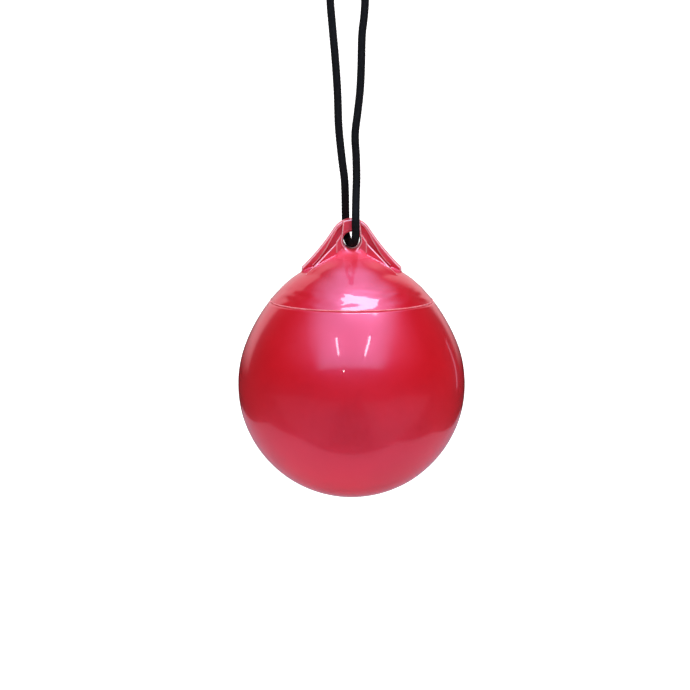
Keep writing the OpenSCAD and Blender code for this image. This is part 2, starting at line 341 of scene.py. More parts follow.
PILLAR_W, PILLAR_T, PILLAR_TAPER = 40.0, 26.0, 9.0
LUG_T = 30.0
WEB_T = 8.0
RIM_T = 18.0
RIM_W_TOP, RIM_W_FOOT, RIM_RUN = 3.8, 8.4, (206, 166)  # a rim widens between the two heights of its run
BOSS_R, BOSS_TOP = 14.0, 10.0
SLOPE_A = math.radians(35.5)
RIB_END = np.array([65.0, 155.5])
EDGE_SAG = 1.9
FIN_T, FIN_YAW, FIN_L = 3.0, math.radians(24.5), 44.0
FIN_TOP, FIN_FOOT = EYE_H - 2.5, 149.5
FIN_SET = 1.4  # how far the fins' faces stand back from the pillar's, which leaves its edges sharp
SKIRT_DEPTH = 2.4  # the lug's mesh runs this far into the dome and a little way out over it
LEAD, LEAD_RUN = 0.02, 11.0  # it lies LEAD outside the dome near the lug, and LEAD inside it at its rim

WEB_ROUND, RIM_ROUND, BLOCK_ROUND, FIN_ROUND = 0.8, 1.4, 1.1, 0.9
RIB_FILLET, PILLAR_FILLET, FIN_FILLET, EYE_FILLET = 2.4, 2.0, 1.2, 4.5
FOOT_FILLET = 2.6

# The front and rear faces run out over the dome in a broad fillet. It grows down the pillar, is full
# near the middle, reaches further to the sides further down, and stays out of the pockets behind the fins.
FACE_FILLET, FACE_RUN = 66.0, (198, 154)
FACE_FULL_X, FACE_END_X, FACE_FLARE, FLARE_RUN = 8, 22, 44, (186, 150)
POCKET = (-3, 8)

EDGE_STEP, EDGE_BEND = 0.7, (0.15, 0.5)  # where sharpness() looks, and the bends it calls 0 and 1
RIPPLE_REACH = 25.0  # how far above the dome the lug still follows the skin's ripple


def tent_outline():
    """The lug's side outline: a round crest and two slightly hollow slopes down to the ribs' ends."""
    n = np.array([math.cos(SLOPE_A), math.sin(SLOPE_A)])
    crest = [
        np.array([0, EYE_H]) + CREST_R * np.array([math.cos(a), math.sin(a)])
        for a in np.linspace(math.pi / 2, SLOPE_A, 12)
    ]
    top = crest[-1]
    middle = (top + RIB_END) / 2 - 2 * EDGE_SAG * n
    slope = [
        (1 - t) ** 2 * top + 2 * t * (1 - t) * middle + t * t * RIB_END
        for t in np.linspace(0, 1, 14)[1:]
    ]
    right = crest + slope + [np.array([RIB_END[0], DOME_H])]
    return [tuple(p) for p in right] + [(-x, z) for x, z in right[::-1]]


TENT = tent_outline()
PILLAR = [(PILLAR_W / 2, DOME_H), (PILLAR_W / 2, FIN_TOP), (BOSS_R, FIN_TOP + PILLAR_TAPER)]
PILLAR += [(-x, z) for x, z in PILLAR[::-1]]
BOSS = [(BOSS_R * math.cos(a), EYE_H + BOSS_R * math.sin(a)) for a in np.linspace(0, -math.pi, 24)]
BOSS += [(-BOSS_TOP, EYE_H + CREST_R + 4), (BOSS_TOP, EYE_H + CREST_R + 4)]
FIN = [(-6, DOME_H), (-6, FIN_TOP), (0, FIN_TOP), (FIN_L, FIN_FOOT), (FIN_L, DOME_H)]


def lug_solid(x, y, z):
    """Distance to the lug alone, without its eye, and how far each point lies outside the fins' planes."""
    tent = outline_distance(x, z, TENT)
    rim_w = RIM_W_TOP + (RIM_W_FOOT - RIM_W_TOP) * ramp(*RIM_RUN, z)
    web = slab(tent, y, WEB_T, WEB_ROUND)
    rim = slab(np.maximum(tent, -(tent + rim_w)), y, RIM_T, RIM_ROUND)
    ribs = smooth_min(web, rim, RIB_FILLET)
    pillar = slab(outline_distance(x, z, PILLAR), y, PILLAR_T, BLOCK_ROUND)
    boss = slab(np.maximum(tent, outline_distance(x, z, BOSS)), y, LUG_T, BLOCK_ROUND)
    out_x, out_y = x - (PILLAR_W - FIN_T) / 2, y - (PILLAR_T - FIN_T) / 2 + FIN_SET
    along = out_x * math.cos(FIN_YAW) + out_y * math.sin(FIN_YAW)
    across = out_y * math.cos(FIN_YAW) - out_x * math.sin(FIN_YAW)
    fins = slab(outline_distance(along, z, FIN), across, FIN_T, FIN_ROUND)
    lug = smooth_min(smooth_min(ribs, pillar, PILLAR_FILLET), fins, FIN_FILLET)
    return smooth_min(lug, boss, FIN_FILLET), across


def foot_fillet(x, z, across):
    """How broad the fillet between lug and dome is."""
    end_x = FACE_END_X + FACE_FLARE * ramp(*FLARE_RUN, z)
    on_face = ramp(*FACE_RUN, z) * ramp(end_x, FACE_FULL_X, x) * ramp(*POCKET, across)
    return FOOT_FILLET + FACE_FILLET * on_face


def lug_field(x, y, z):
    """Distance to the lug and a skirt of dome round it, in the ball's frame."""
    x, y = np.abs(x), np.abs(y)
    lug, across = lug_solid(x, y, z)
    fillet = foot_fillet(x, z, across)
    dome = np.sqrt(x * x + y * y + (z - DOME_H) ** 2) - DOME_R
    lead = LEAD * (1 - 2 * ramp(fillet, fillet + LEAD_RUN, lug))
    solid = smooth_min(lug, dome - lead, fillet)
    solid = smooth_max(solid, EYE_R - np.hypot(x, z - EYE_H), EYE_FILLET)
    solid = np.maximum(solid, -(dome + SKIRT_DEPTH))
    return np.maximum(solid, lug - fillet - LEAD_RUN - 1)


def sharpness(points):
    """How sharply the lug's surface is bent outwards at points on it, from 0 on flats to 1 on its edges."""
    shifts = np.concatenate([np.eye(3), -np.eye(3)]) * EDGE_STEP
    bend = sum(lug_field(*(points + shift).T) for shift in shifts) - 6 * lug_field(*points.T)
    return ramp(*EDGE_BEND, bend / EDGE_STEP**2)


def lug_mesh():
    """(points, faces) of the lug, and how sharp an edge each point lies on, which masks its painted edge
    highlight.
    """
    points, faces = surface(lug_field, LUG_LOW, LUG_HIGH, LUG_CELL, mirrored=True)
    sharp = sharpness(points)
    height = np.linalg.norm(points - [0, 0, DOME_H], axis=1) - DOME_R
    near = np.flatnonzero(height < RIPPLE_REACH)
    fade = 1 - ramp(0, RIPPLE_REACH, height[near])
    points[near] += outward(points[near]) * (ripple(points[near]) * fade)[:, None]
    return (points, faces), sharp


# ---- filler ---------------------------------------------------------------------------------------

VALVE_R, VALVE_H = skin(VALVE_A)
VALVE_TURN = Matrix.Rotation(VALVE_A - math.pi / 2, 3, "X")
VALVE_AT = (0, VALVE_R, VALVE_H + BALL_Z)
COLLAR_R, COLLAR_H = 15.0, 6.0
NECK_R, NECK_FOOT, BORE_R, LIP_R, LIP_H = 11.5, -16.0, 8.0, 14.4, 1.6
GROOVES, GROOVE_D, GROOVE_START = 6, 0.4, 2.6
GRIP_R, GRIP_H, GRIPS = 12.4, 5.0, 10
SCALLOP_R, DISH_R, DISH_D = 2.3, 76.7, 0.7
SLOT_L, SLOT_W, SLOT_D = 17.2, 2.4, 2.2
STEM_R, STEM_L, STEM_IN_GRIP = 7.35, 12.0, 1.2
THREAD_H, THREAD_LEAD_IN = 0.5, 2.5
SEAL_R, SEAL_WIRE_R, SEAL_DEPTH = 9.4, 0.86, 1.75
GAP = 0.05  # between filler pieces that would otherwise touch
FACE = COLLAR_H + LIP_H + GAP
FILLER_SIDES = 96
PLUG_CELL = 0.3


def flange_mesh():
    bore = NECK_R + 0.06
    outline = [(bore, -4.5), (20.0, -4.5), (22.0, -3.4), (22.0, -0.6), (20.6, 1.3), (18.4, 2.1)]
    outline += [(16.8, 2.6), (15.4, 4.2), (COLLAR_R, COLLAR_H), (bore, COLLAR_H)]
    return closed_lathe(rounded(outline, radius=0.8, steps=4), 120)


def neck_mesh():
    """The threaded insert. Its thread is simplified to rings at the plug's pitch."""
    lip, top = COLLAR_H + GAP, COLLAR_H + LIP_H
    inner = BORE_R + GAP
    outline = [(NECK_R, NECK_FOOT), (NECK_R, lip), (LIP_R, lip), (LIP_R, top), (SEAL_R + 1.1, top)]
    outline += [(SEAL_R + 1.0, top - SEAL_DEPTH), (inner, top - SEAL_DEPTH)]
    groove = [
        (inner + (GROOVE_D if k % 2 else 0), top - GROOVE_START - k * THREAD_PITCH / 2)
        for k in range(1, 2 * GROOVES + 1)
    ]
    groove = rounded(groove + [(inner, NECK_FOOT)], radius=0.2, steps=2)
    return closed_lathe(rounded(outline, radius=0.35, steps=4) + groove, FILLER_SIDES)


def seal_mesh():
    centre = FACE - 0.03 - SEAL_WIRE_R
    ring = [
        (SEAL_R + SEAL_WIRE_R * math.cos(a), centre + SEAL_WIRE_R * math.sin(a))
        for a in np.linspace(0, 2 * math.pi, 20, endpoint=False)
    ]
    return closed_lathe(ring, FILLER_SIDES)


def grip_field(x, y, z):
    """A round grip with scallops, a coin slot and a slightly dished top."""
    r, turn = np.hypot(x, y), np.arctan2(y, x)
    grip = slab(r - GRIP_R, z - FACE - GRIP_H / 2, GRIP_H, 0.7)
    share = 2 * math.pi / GRIPS
    near = (turn + share / 2) % share - share / 2
    scallop = SCALLOP_R - np.hypot(r * np.cos(near) - GRIP_R - 1, r * np.sin(near))
    grip = smooth_max(grip, scallop, 0.8)
    slot = np.maximum(np.abs(x) - SLOT_L / 2, np.abs(y) - SLOT_W / 2)
    grip = smooth_max(grip, -np.maximum(slot, FACE + GRIP_H - SLOT_D - z), 0.5)
    dish = DISH_R - np.sqrt(r * r + (z - FACE - GRIP_H - (DISH_R - DISH_D)) ** 2)
    return smooth_max(grip, dish, 0.4)


def plug_field(x, y, z):
    """The grip on a stem with a coarse round thread, whose steep flanks call for a scale of 0.75."""
    wave = np.cos(2 * math.pi * z / THREAD_PITCH - np.arctan2(y, x))
    thread = THREAD_H * wave * ramp(FACE - STEM_L, FACE - STEM_L + THREAD_LEAD_IN, z)
    stem = (np.hypot(x, y) - STEM_R - thread) * 0.75
    middle, half = FACE - (STEM_L - STEM_IN_GRIP) / 2, (STEM_L + STEM_IN_GRIP) / 2
    stem = smooth_max(stem, np.abs(z - middle) - half, 0.8)
    return smooth_min(grip_field(x, y, z), stem, 0.6)


def plug_mesh():
    half, low, high = GRIP_R + 1.1, FACE - STEM_L - 1, FACE + GRIP_H + 1
    return surface(plug_field, (-half, -half, low), (half, half, high), PLUG_CELL)


# ---- cord -----------------------------------------------------------------------------------------

EYE_DROP = -CREST_R
BIGHT = (-1.3, 0, EYE_DROP - 4.9)
REAR_LEG = [BIGHT, (-3, 8, EYE_DROP - 4.7), (-4.4, 14.5, EYE_DROP - 3.2), (-6.5, 19.4, EYE_DROP + 2)]
REAR_LEG += [(-7.8, 20.9, EYE_DROP + 10), (-7.9, 20.9, 0), (-8.1, 13.5, 18), (-8.5, 6, 36), (-9.5, 1.5, 54)]
REAR_LEG += [(-12.8, 0, 80), (-16.8, 0, 120), (-18.4, 0, 165), (-21.4, 0, 210), (-25.2, 0, 252)]
REAR_LEG += [(-27.6, 0, 286), (-24, 0, 308), (-12, 0, 332), (-6.8, 0, 346), (-6.5, 0, 366), (-6.5, 0, 376)]
FRONT_LEG = [(0.8, -8, EYE_DROP - 4.7), (3, -14.5, EYE_DROP - 3.2), (4.8, -19.4, EYE_DROP + 2)]
FRONT_LEG += [(5.3, -20.9, EYE_DROP + 10), (5.3, -20.9, 0), (5.5, -13.5, 18), (6, -6, 36), (6.5, -1.5, 54)]
FRONT_LEG += [(6, 0, 80), (4.6, 0, 110), (8, 0, 140), (11, 0, 168), (12.5, 0, 200), (13.4, 0, 238)]
FRONT_LEG += [(16.4, 0, 266), (17, 0, 290), (12, 0, 322), (6.9, 0, 344), (6.5, 0, 366), (6.5, 0, 376)]
KNOT_H = 401.0
WRAPS, WRAP_STEPS, WRAP_PITCH, WRAP_START = 3, 16, 10.7, -0.1
STRAND_X = CORD_R + 0.05
WRAP_R = 2 * CORD_R + 0.4
LOOP_W = 17.5  # half the loop's width

CORD_SIDES = 48
CORD_STEP = 0.8
YARNS = 8  # bundles in each of the braid's two directions
DIAMOND = 5.0  # length of one diamond of the braid along the cord
RELIEF, CROWN = 0.38, 0.06  # how deep the braid is, and how far it stands out over CORD_R
YARN_ROUND, YARN_DIP = 1.9, 0.6  # how round a yarn is across, and how far it dips at its ends
TIP_L, TIP_SHARE = 3.0, 0.05  # a melted tip's length, and its end's share of the full radius


def spline(points, steps):
    """A smooth curve through all the points."""
    p = np.array([points[0], *points, points[-1]], float)
    out = []
    for a, b, c, d in zip(p, p[1:], p[2:], p[3:]):
        square, cube = 2 * a - 5 * b + 4 * c - d, 3 * b - a - 3 * c + d
        for t in np.arange(steps) / steps:
            out.append(0.5 * (2 * b + (c - a) * t + square * t**2 + cube * t**3))
    return np.array(out + [p[-1]])


def bezier(a, b, c, d, steps):
    """A curve from a to d that leaves towards b and arrives from c."""
    a, b, c, d = (np.array(p, float) for p in (a, b, c, d))
    return [
        tuple((1 - t) ** 3 * a + 3 * (1 - t) ** 2 * t * b + 3 * (1 - t) * t * t * c + t**3 * d)
        for t in np.linspace(0, 1, steps + 1)
    ]


def wrap_point(u):
    """A point on the knot's wrap, u turns round the two strands of the loop."""
    quarter = math.pi * WRAP_R / 2
    d = (u - math.floor(u)) * 4 * (quarter + STRAND_X)
    height = KNOT_H + WRAP_PITCH * (u - WRAP_START)

    def corner(x, run):
        a = math.pi / 2 * run / quarter
        return (x + WRAP_R * math.cos(a), WRAP_R * math.sin(a), height)

    if d < quarter:
        return corner(STRAND_X, d)
    if d < quarter + 2 * STRAND_X:
        return (STRAND_X - (d - quarter), WRAP_R, height)
    if d < 3 * quarter + 2 * STRAND_X:
        return corner(-STRAND_X, d - 2 * STRAND_X)
    if d < 3 * quarter + 4 * STRAND_X:
        return (-STRAND_X + (d - 3 * quarter - 2 * STRAND_X), -WRAP_R, height)
    return corner(STRAND_X, d - 4 * STRAND_X)


def cord_path():
    """The whole cord in the crest's frame: loop, rear leg, bend in the eye, front leg, wraps."""
    k = KNOT_H
    loop = [(5.8, 14.5, k - 16), (5.6, 8, k - 11.6), (5.4, 2.4, k - 6.4)]
    loop += [(STRAND_X, 0, k + h) for h in (0, 17, 34)]
    loop += [(8.5, 0, k + 44), (15.5, 0, DROP - 22), (LOOP_W, 0, DROP - 10), (12.5, 0, DROP + 1.2)]
    loop += [(0, 0, DROP + CORD_R), (-12.5, 0, DROP + 1.2), (-LOOP_W, 0, DROP - 10), (-15.5, 0, DROP - 22)]
    loop += [(-8.5, 0, k + 44)] + [(-STRAND_X, 0, k + h) for h in (34, 17, 0)] + [(-5.9, 0, k - 12)]
    wraps = [wrap_point(WRAP_START + n / WRAP_STEPS) for n in range(WRAP_STEPS * WRAPS + 1)]
    lead_in = bezier(FRONT_LEG[-1], (6.5, -2.5, k - 15.5), (6.4, -15.2, k - 3.5), wraps[0], 7)[1:-1]
    top = k + WRAP_PITCH * WRAPS
    tail = [(17.6, -3.8, top + 1.8), (23, 1, top + 4.6)]
    coarse = spline(loop + REAR_LEG[::-1] + FRONT_LEG + lead_in + wraps + tail, 10)
    run = np.concatenate([[0], np.cumsum(np.linalg.norm(np.diff(coarse, axis=0), axis=1))])
    even = np.linspace(0, run[-1], int(run[-1] / CORD_STEP))
    return np.stack([np.interp(even, run, coarse[:, d]) for d in range(3)], -1), even


def weave(around, along):
    """Height, 0 to 1, of the braid: two families of yarns cross, and each diamond shows one of them."""
    p, q = YARNS * around + along / DIAMOND, YARNS * around - along / DIAMOND
    over = (np.floor(p) + np.floor(q)) % 2 == 0
    p, q = p % 1 - 0.5, q % 1 - 0.5
    across, lengthways = np.where(over, p, q), np.where(over, q, p)
    return (1 - (YARN_ROUND * across) ** 2) * (1 - YARN_DIP * (YARN_ROUND * lengthways) ** 2)


class Cord:
    """Rings of points along the whole cord, cut into pieces that meet ring to ring."""

    def __init__(self):
        self.path, self.run = cord_path()
        tangent = np.gradient(self.path, axis=0)
        tangent /= np.linalg.norm(tangent, axis=1)[:, None]
        side = np.cross(tangent[0], (0.3, 0.2, 1))  # any direction across the cord will do to start
        around = np.arange(CORD_SIDES) / CORD_SIDES
        cos, sin = np.cos(around * 2 * math.pi), np.sin(around * 2 * math.pi)
        rings = []
        for at, t, s in zip(self.path, tangent, self.run):
            side = side - (side @ t) * t
            side /= np.linalg.norm(side)
            radius = (CORD_R + CROWN - RELIEF * (1 - weave(around, s))) * self.taper(s)
            spokes = np.outer(cos, side) + np.outer(sin, np.cross(t, side))
            rings.append(at + radius[:, None] * spokes)
        self.rings = np.array(rings)
        self.lowest = int(self.path[:, 2].argmin())

    def taper(self, s):
        """Closes the melted tips to round ends."""
        edge = min(s, self.run[-1] - s, TIP_L) / TIP_L
        return TIP_SHARE + (1 - TIP_SHARE) * math.sqrt(1 - (1 - edge) ** 2)

    def rear(self, height):
        """The number of the rear leg's last ring that is at least this high above the crest."""
        return int(np.flatnonzero(self.path[: self.lowest, 2] >= height).max())

    def front(self, height):
        """The number of the front leg's first ring that is at least this high above the crest."""
        return self.lowest + int(np.flatnonzero(self.path[self.lowest :, 2] >= height).min())

    def piece(self, *spans):
        """(points, faces) of the rings in each span of ring numbers. The cord's own two ends are closed."""
        points, faces = [], []
        for first, last in spans:
            start = len(points) * CORD_SIDES
            points += list(self.rings[first : last + 1])
            faces += grid_faces(last - first + 1, CORD_SIDES, start)
            if first == 0:
                faces.append(list(range(start, start + CORD_SIDES))[::-1])
            if last == len(self.path) - 1:
                end = start + (last - first) * CORD_SIDES
                faces.append(list(range(end, end + CORD_SIDES)))
        return np.concatenate(points), faces


# ---- materials ------------------------------------------------------------------------------------

BLOWN_DARK, BLOWN_LIGHT = (0.66, 0.004, 0.008), (0.75, 0.006, 0.012)
# The second of these colours is a painted highlight, laid on the lug's sharp edges where they would mirror
# the bright ceiling.
CAST_RED, EDGE_HIGHLIGHT_PINK = (0.90, 0.040, 0.070), (0.98, 0.50, 0.57)
CAST_GAP, CAST_H = (1, 9), (126, 132)  # the cast red sets in over these gaps to the dome and heights
CAST_HAZE = 0.3


def material(name, colour, roughness, **inputs):
    """A Principled material. An input's name is given with _ for each space."""
    m = bpy.data.materials.new(name)
    m.use_nodes = True
    shader = m.node_tree.nodes["Principled BSDF"]
    shader.inputs["Base Color"].default_value = (*colour, 1)
    shader.inputs["Roughness"].default_value = roughness
    for key, value in inputs.items():
        shader.inputs[key.replace("_", " ")].default_value = value
    return m


class Nodes:
    """Short forms for building a material's node tree."""

    def __init__(self, m):
        self.tree = m.node_tree
        self.shader = m.node_tree.nodes["Principled BSDF"]

    def add(self, kind, inputs=(), **settings):
        n = self.tree.nodes.new("ShaderNode" + kind)
        for key, value in settings.items():
            setattr(n, key, value)
        for key, value in dict(inputs).items():
            if isinstance(value, bpy.types.NodeSocket):
                self.tree.links.new(value, n.inputs[key])
            else:
                n.inputs[key].default_value = value
        return n

    def link(self, output, name):
        self.tree.links.new(output, self.shader.inputs[name])

    def place(self):
        return self.add("TexCoord").outputs["Object"]

    def distance(self, point):
        return self.add("VectorMath", {0: self.place(), 1: point}, operation="DISTANCE").outputs["Value"]

    def noise(self, scale, detail=2.0):
        inputs = {"Vector": self.place(), "Scale": scale, "Detail": detail}
        return self.add("TexNoise", inputs).outputs["Fac"]

    def within(self, value, start, end, low=0.0, high=1.0):
        """Maps start..end to low..high, and holds the value at both ends."""
        names = ("Value", "From Min", "From Max", "To Min", "To Max")
        return self.add("MapRange", zip(names, (value, start, end, low, high))).outputs["Result"]

    def spread(self, value, low, high):
        """Maps a noise's usual range to low..high."""
        return self.within(value, 0.3, 0.7, low, high)

    def math(self, operation, one, two):
        return self.add("Math", {0: one, 1: two}, operation=operation).outputs[0]

    def blend(self, share, one, two):
        """A colour between one and two, each a colour or a socket. The share is a socket."""
        n = self.add("Mix", data_type="RGBA")
        for name, value in (("Factor", share), ("A", one), ("B", two)):
            socket = next(s for s in n.inputs if s.name == name and s.enabled)
            if isinstance(value, bpy.types.NodeSocket):
                self.tree.links.new(value, socket)
            else:
                socket.default_value = (*value, 1)
        return next(s for s in n.outputs if s.enabled)

    def bump(self, height, strength, distance):
        n = self.add("Bump", {"Height": height, "Strength": strength, "Distance": distance})
        self.link(n.outputs["Normal"], "Normal")


def cast_share(n):
    """1 on the lug, which stands clear of the dome and above its foot, and 0 on the blown skin."""
    off_dome = n.distance((0, 0, (BALL_Z + DOME_H) * MM))
    height = n.add("SeparateXYZ", {"Vector": n.place()}).outputs["Z"]
    return n.math(
        "MULTIPLY",
        n.within(off_dome, *[(DOME_R + gap) * MM for gap in CAST_GAP]),
        n.within(height, *[(BALL_Z + h) * MM for h in CAST_H]),
    )


def pearl_pvc():
    """Deep red PVC with a fine violet-pink pearl in it, under its own glossy skin. The lug is cast in a
    plainer mould and comes out paler and less glossy than the blown skin. Its sharp edges are palest: a
    painted highlight, standing in for the bright ceiling they would mirror."""
    m = material(
        "pearl_red_pvc",
        (0.62, 0.005, 0.010),
        0.34,
        Metallic=0.10,
        IOR=1.75,
        Specular_IOR_Level=0.75,
        Specular_Tint=(0.85, 0.50, 1.0, 1),
        Coat_Weight=1.0,
        Coat_IOR=1.5,
    )
    n = Nodes(m)
    cast = cast_share(n)
    # Painted highlight: the edge attribute turns the lug's sharp edges pale pink, as if they mirrored the
    # ceiling.
    edge = n.add("Attribute", attribute_name="edge").outputs["Fac"]
    blown = n.blend(n.spread(n.noise(9.0, 3), 0, 1), BLOWN_DARK, BLOWN_LIGHT)
    n.link(n.blend(edge, n.blend(cast, blown, CAST_RED), EDGE_HIGHLIGHT_PINK), "Base Color")
    n.link(n.spread(n.noise(1400.0, 1), 0.30, 0.38), "Roughness")
    gloss = n.spread(n.noise(14.0, 4), 0.02, 0.07)
    n.link(n.math("ADD", gloss, n.math("MULTIPLY", cast, CAST_HAZE)), "Coat Roughness")
    n.bump(n.noise(60.0, 3), 0.06, 0.002)
    return m


def weld_flash_highlight():
    """Thin PVC squeezed out of the weld, coloured much paler than the skin. The pale colour is a painted
    highlight for the thin bright line its rounded top shows.
    """
    m = material("weld_flash_highlight", (0.80, 0.11, 0.17), 0.45, IOR=1.5, Coat_Weight=0.4, Coat_Roughness=0.25)
    n = Nodes(m)
    # Both pinks are painted highlight, varied at random along the weld.
    n.link(n.blend(n.spread(n.noise(90.0, 3), 0, 1), (0.80, 0.13, 0.17), (0.95, 0.30, 0.36)), "Base Color")
    n.bump(n.noise(500.0, 2), 0.2, 0.0004)
    return m


def braided_cord():
    m = material("black_braid", (0.006, 0.006, 0.007), 0.7, Specular_IOR_Level=0.1)
    n = Nodes(m)
    dye = n.blend(n.spread(n.noise(700.0, 2), 0, 1), (0.003, 0.003, 0.004), (0.010, 0.010, 0.012))
    n.link(dye, "Base Color")
    n.bump(n.noise(1800.0, 2), 0.35, 0.0004)
    return m


def black_nylon():
    m = material("black_nylon", (0.020, 0.020, 0.022), 0.42)
    n = Nodes(m)
    n.link(n.spread(n.noise(220.0, 3), 0.36, 0.50), "Roughness")
    n.bump(n.noise(1500.0, 2), 0.12, 0.0002)
    return m


def seal_rubber():
    m = material("seal_rubber", (0.028, 0.028, 0.030), 0.65)
    n = Nodes(m)
    n.link(n.spread(n.noise(400.0, 2), 0.58, 0.72), "Roughness")
    return m


# ---- the object -----------------------------------------------------------------------------------

PVC, FLASH_HIGHLIGHT, BRAID = pearl_pvc(), weld_flash_highlight(), braided_cord()
NYLON, RUBBER = black_nylon(), seal_rubber()
IN_BALL = (0, 0, BALL_Z)
IN_CREST = (0, 0, CREST_Z)
CUTS = (54.0, 336.0, 362.0)  # heights above the crest where the cord is cut into its four meshes


def build_skin():
    for name, mesh in (("lower_shell", lower_shell_mesh()), ("shoulder_cap", shoulder_cap_mesh())):
        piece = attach(add(name + "_skin", soften(mesh), PVC, IN_BALL), "bag")
        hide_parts(name)
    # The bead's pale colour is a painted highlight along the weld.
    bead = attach(add("weld_bead", soften(weld_bead_mesh()), FLASH_HIGHLIGHT, IN_BALL), "bag")


def build_lug():
    mesh, sharp = lug_mesh()
    lug = add("hanging_lug_moulding", mesh, PVC, IN_BALL)
    # The edge attribute masks the painted edge highlight in the PVC's colour.
    lug.data.attributes.new("edge", "FLOAT", "POINT").data.foreach_set("value", sharp)
    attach(lug, "bag")
    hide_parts("hanging_lug")


def build_filler():
    for name, node, mesh, finish, slot, body in (
        ("valve_flange_patch", "valve_flange", flange_mesh(), PVC, "red_pvc", "bag"),
        ("filler_neck_insert", "filler_neck", neck_mesh(), NYLON, "black_nylon", "bag"),
        ("plug_seal_ring", "plug_seal", seal_mesh(), RUBBER, "seal_rubber", "seal_ring"),
        ("filler_plug_screw", "filler_plug", plug_mesh(), NYLON, "black_nylon", "plug"),
    ):
        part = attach(add(name, mesh, finish, VALVE_AT, VALVE_TURN), body)
        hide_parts(node)


def build_cord():
    """Four meshes that meet ring to ring, cut at the heights above the crest given in CUTS."""
    cord = Cord()
    top = len(cord.path) - 1
    rear_cuts = [cord.rear(h) for h in CUTS]
    front_cuts = [cord.front(h) for h in CUTS]
    eye = [(rear_cuts[0], front_cuts[0])]
    run = [(rear_cuts[1], rear_cuts[0]), (front_cuts[0], front_cuts[1])]
    neck = [(rear_cuts[2], rear_cuts[1]), (front_cuts[1], front_cuts[2])]
    loop = [(0, rear_cuts[2]), (front_cuts[2], top)]
    for name, bodies, (start, end), lengths, spans in (
        ("cord_in_eye", ("cord_bight", "cord_link"), (20.0, 49.0), ["bight"], eye),
        ("cord_legs_run", ("cord_link", "cord_legs"), (58.0, 334.0), ["link", "legs"], run),
        ("cord_under_knot", ("cord_legs", "cord_neck"), (339.0, 361.0), ["neck"], neck),
        ("cord_knot_and_loop", ("cord_neck", "hanging_loop"), (363.0, 380.0), ["loop", "knot"], loop),
    ):
        piece = add(name, cord.piece(*spans), BRAID, IN_CREST)
        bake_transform(piece)
        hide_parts(*[f"{length}_{part}" for length in lengths for part in ("sheath", "core")])


# ---- stage ----------------------------------------------------------------------------------------

# In metres. Cards and lamps are placed from the ball's centre, the floor and the camera in the row frame.
FLOOR_Z = (BALL_Z - BALL_R - 450) * MM
FLOOR = FLOOR_Z - BALL_Z * MM  # the same height from the ball's centre
CEILING = 1.6
SWEEP_X, SWEEP_FRONT, SWEEP_BACK = 7.0, -6.0, 2.0
CURVE_R, BACKDROP_H = 1.5, 6.0
GLOW, FAR_GLOW, FAR = 0.6, 0.4, (0.5, 3.0)
ROOM_LEVEL = 0.015  # how bright the room is, beside the backdrop, to all but the camera

CARD_POINTS = 60  # along each side of a card
FOOT_Y, FOOT_R = 0.35, 0.4  # where the ball darkens the paper card under it, and over what radius

CAMERA_DISTANCE = 3.0
CAMERA_ELEVATION = math.radians(8.7)
CAMERA_TARGET = Vector((-8.6, 0, BALL_Z + 52)) * MM
LENS = 118.4


def sweep():
    """A pale floor that curves up into a backdrop. It glows a little, as paper lit from all sides does, and
    to the camera it glows more with distance, so that no edge of it shows from the side."""
    profile = [(SWEEP_FRONT, 0.0), (SWEEP_BACK, 0.0)]
    profile += [
        (SWEEP_BACK + CURVE_R * math.sin(a), CURVE_R - CURVE_R * math.cos(a))
        for a in np.linspace(0.1, math.pi / 2, 16)
    ]
    profile += [(SWEEP_BACK + CURVE_R, BACKDROP_H)]
    points = [(x, y, FLOOR_Z + z) for y, z in profile for x in (-SWEEP_X, SWEEP_X)]
    faces = [(2 * i, 2 * i + 1, 2 * i + 3, 2 * i + 2) for i in range(len(profile) - 1)]
    pale = material(
        "pale_floor", (0.86, 0.86, 0.86), 0.7, Emission_Color=(1, 1, 1, 1), Emission_Strength=GLOW
    )
    n = Nodes(pale)
    n.link(n.blend(n.noise(3.0), (0.84, 0.84, 0.84), (0.88, 0.88, 0.88)), "Base Color")
    far = n.within(n.distance((0, 0, FLOOR_Z)), *FAR, high=FAR_GLOW)
    seen = n.math("MULTIPLY", far, n.add("LightPath").outputs["Is Camera Ray"])
    n.link(n.math("ADD", seen, GLOW), "Emission Strength")
    floor = add("floor", (np.array(points) / MM, faces), pale)
    floor.visible_glossy = False


def card(name, outline, place, shade, soft=0.05, shadow=0.0, upright=False):
    """A card that only shows in reflections, where it shapes what the glossy skin mirrors. Its outline is
    (x, y) at height place, or, when upright, (x, z) at depth place. It fades out over soft metres at its
    edge, and shadow is the share of its light that it loses under the ball."""
    low, high = np.min(outline, 0) - soft, np.max(outline, 0) + soft
    u, w = (axis.ravel() for axis in np.meshgrid(*np.linspace(low, high, CARD_POINTS).T, indexing="ij"))
    glow = ramp(soft, -soft, outline_distance(u, w, outline))
    glow *= 1 - shadow * np.exp(-(u**2 + (w - FOOT_Y) ** 2) / FOOT_R**2)
    flat = np.full(len(u), place)
    points = np.stack([u, flat, w] if upright else [u, w, flat], -1)
    i, k = np.meshgrid(np.arange(CARD_POINTS - 1), np.arange(CARD_POINTS - 1), indexing="ij")
    corner = (i * CARD_POINTS + k).ravel()
    faces = np.stack([corner, corner + 1, corner + CARD_POINTS + 1, corner + CARD_POINTS], -1).tolist()
    m = material(name, (0, 0, 0), 1.0, Specular_IOR_Level=0, Emission_Color=(*shade, 1))
    n = Nodes(m)
    n.link(n.add("Attribute", attribute_name="glow").outputs["Fac"], "Emission Strength")
    obj = add(name, (points / MM, faces), m, IN_BALL)
    obj.data.attributes.new("glow", "FLOAT", "POINT").data.foreach_set("value", glow)
    obj.visible_camera = obj.visible_diffuse = obj.visible_shadow = False
    obj.visible_transmission = False


